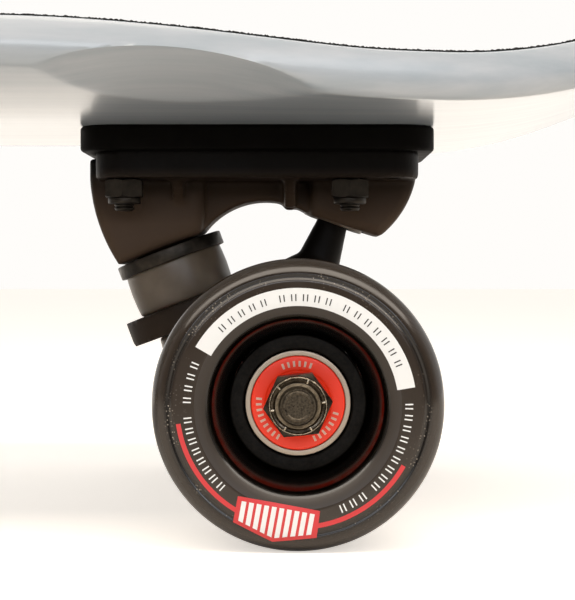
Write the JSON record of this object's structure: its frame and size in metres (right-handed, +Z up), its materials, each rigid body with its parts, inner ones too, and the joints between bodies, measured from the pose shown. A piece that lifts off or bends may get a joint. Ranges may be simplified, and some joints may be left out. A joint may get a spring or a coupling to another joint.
{
  "type": "cruiser skateboard",
  "caption": "Cruiser skateboard: kicked wooden deck with grip and wheel wells, riser pads, cast trucks turning on bushings, and wide soft wheels on shielded bearings",
  "frame": {"origin": "on the ground under the middle of the board's length and width", "axes": "+X towards the tail, +Y to the board's right side when facing the nose, +Z up"},
  "size_m": [0.7138, 0.2032, 0.1383],
  "materials": {
    "painted_wood": "clear-coated pale grey paint over plywood",
    "grip_sheet": "black abrasive grip",
    "riser_plastic": "black satin plastic",
    "black_casting": "black coated aluminium casting",
    "cup_rubber": "black moulded urethane",
    "bushing_urethane": "dark moulded urethane",
    "plated_steel": "bright plated steel",
    "blackened_steel": "black oxide steel",
    "wheel_urethane": "glossy black urethane",
    "core_plastic": "black moulded core",
    "red_shield": "steel race with red shields",
    "bolt_steel": "black oxide steel"
  },
  "bodies": {
    "board": {"deck": "painted_wood", "grip_tape": "grip_sheet", "riser_front": "riser_plastic", "baseplate_front": "black_casting", "pivot_cup_front": "cup_rubber", "kingpin_front": "blackened_steel", "kingpin_nut_front": "blackened_steel", "bushing_boardside_front": "bushing_urethane", "bushing_roadside_front": "bushing_urethane", "cup_washer_boardside_front": "blackened_steel", "cup_washer_roadside_front": "blackened_steel", "mounting_bolt_front_1": "bolt_steel", "mounting_bolt_front_2": "bolt_steel", "mounting_bolt_front_3": "bolt_steel", "mounting_bolt_front_4": "bolt_steel", "riser_rear": "riser_plastic", "baseplate_rear": "black_casting", "pivot_cup_rear": "cup_rubber", "kingpin_rear": "blackened_steel", "kingpin_nut_rear": "blackened_steel", "bushing_boardside_rear": "bushing_urethane", "bushing_roadside_rear": "bushing_urethane", "cup_washer_boardside_rear": "blackened_steel", "cup_washer_roadside_rear": "blackened_steel", "mounting_bolt_rear_1": "bolt_steel", "mounting_bolt_rear_2": "bolt_steel", "mounting_bolt_rear_3": "bolt_steel", "mounting_bolt_rear_4": "bolt_steel"},
    "hanger_assembly_front": {"hanger_front": "black_casting", "axle_front": "plated_steel", "bearing_sleeve_front_left": "plated_steel", "axle_washer_front_left": "plated_steel", "axle_nut_front_left": "blackened_steel", "bearing_sleeve_front_right": "plated_steel", "axle_washer_front_right": "plated_steel", "axle_nut_front_right": "blackened_steel"},
    "hanger_assembly_rear": {"hanger_rear": "black_casting", "axle_rear": "plated_steel", "bearing_sleeve_rear_left": "plated_steel", "axle_washer_rear_left": "plated_steel", "axle_nut_rear_left": "blackened_steel", "bearing_sleeve_rear_right": "plated_steel", "axle_washer_rear_right": "plated_steel", "axle_nut_rear_right": "blackened_steel"},
    "wheel_front_left": {"tyre_front_left": "wheel_urethane", "wheel_core_front_left": "core_plastic", "bearing_outboard_front_left": "red_shield", "bearing_inboard_front_left": "red_shield"},
    "wheel_front_right": {"tyre_front_right": "wheel_urethane", "wheel_core_front_right": "core_plastic", "bearing_outboard_front_right": "red_shield", "bearing_inboard_front_right": "red_shield"},
    "wheel_rear_left": {"tyre_rear_left": "wheel_urethane", "wheel_core_rear_left": "core_plastic", "bearing_outboard_rear_left": "red_shield", "bearing_inboard_rear_left": "red_shield"},
    "wheel_rear_right": {"tyre_rear_right": "wheel_urethane", "wheel_core_rear_right": "core_plastic", "bearing_outboard_rear_right": "red_shield", "bearing_inboard_rear_right": "red_shield"}
  },
  "joints": [
    {"name": "steer_front", "type": "hinge", "parent": "board", "child": "hanger_assembly_front", "pos_m": [-0.21592, 0, 0.0472], "axis": [-0.7908, 0, 0.612], "range_deg": [-20, 20], "stiffness_Nm_per_rad": 20, "deforming": ["bushing_boardside_front", "bushing_roadside_front"]},
    {"name": "steer_rear", "type": "hinge", "parent": "board", "child": "hanger_assembly_rear", "pos_m": [0.17618, 0, 0.0472], "axis": [0.7908, 0, 0.612], "range_deg": [-20, 20], "stiffness_Nm_per_rad": 20, "deforming": ["bushing_boardside_rear", "bushing_roadside_rear"]},
    {"name": "wheel_spin_front_left", "type": "hinge", "parent": "hanger_assembly_front", "child": "wheel_front_left", "pos_m": [-0.24242, -0.0661, 0.03], "axis": [0, 1, 0], "continuous": true},
    {"name": "wheel_spin_front_right", "type": "hinge", "parent": "hanger_assembly_front", "child": "wheel_front_right", "pos_m": [-0.24242, 0.0661, 0.03], "axis": [0, 1, 0], "continuous": true},
    {"name": "wheel_spin_rear_left", "type": "hinge", "parent": "hanger_assembly_rear", "child": "wheel_rear_left", "pos_m": [0.20268, -0.0661, 0.03], "axis": [0, 1, 0], "continuous": true},
    {"name": "wheel_spin_rear_right", "type": "hinge", "parent": "hanger_assembly_rear", "child": "wheel_rear_right", "pos_m": [0.20268, 0.0661, 0.03], "axis": [0, 1, 0], "continuous": true}
  ]
}
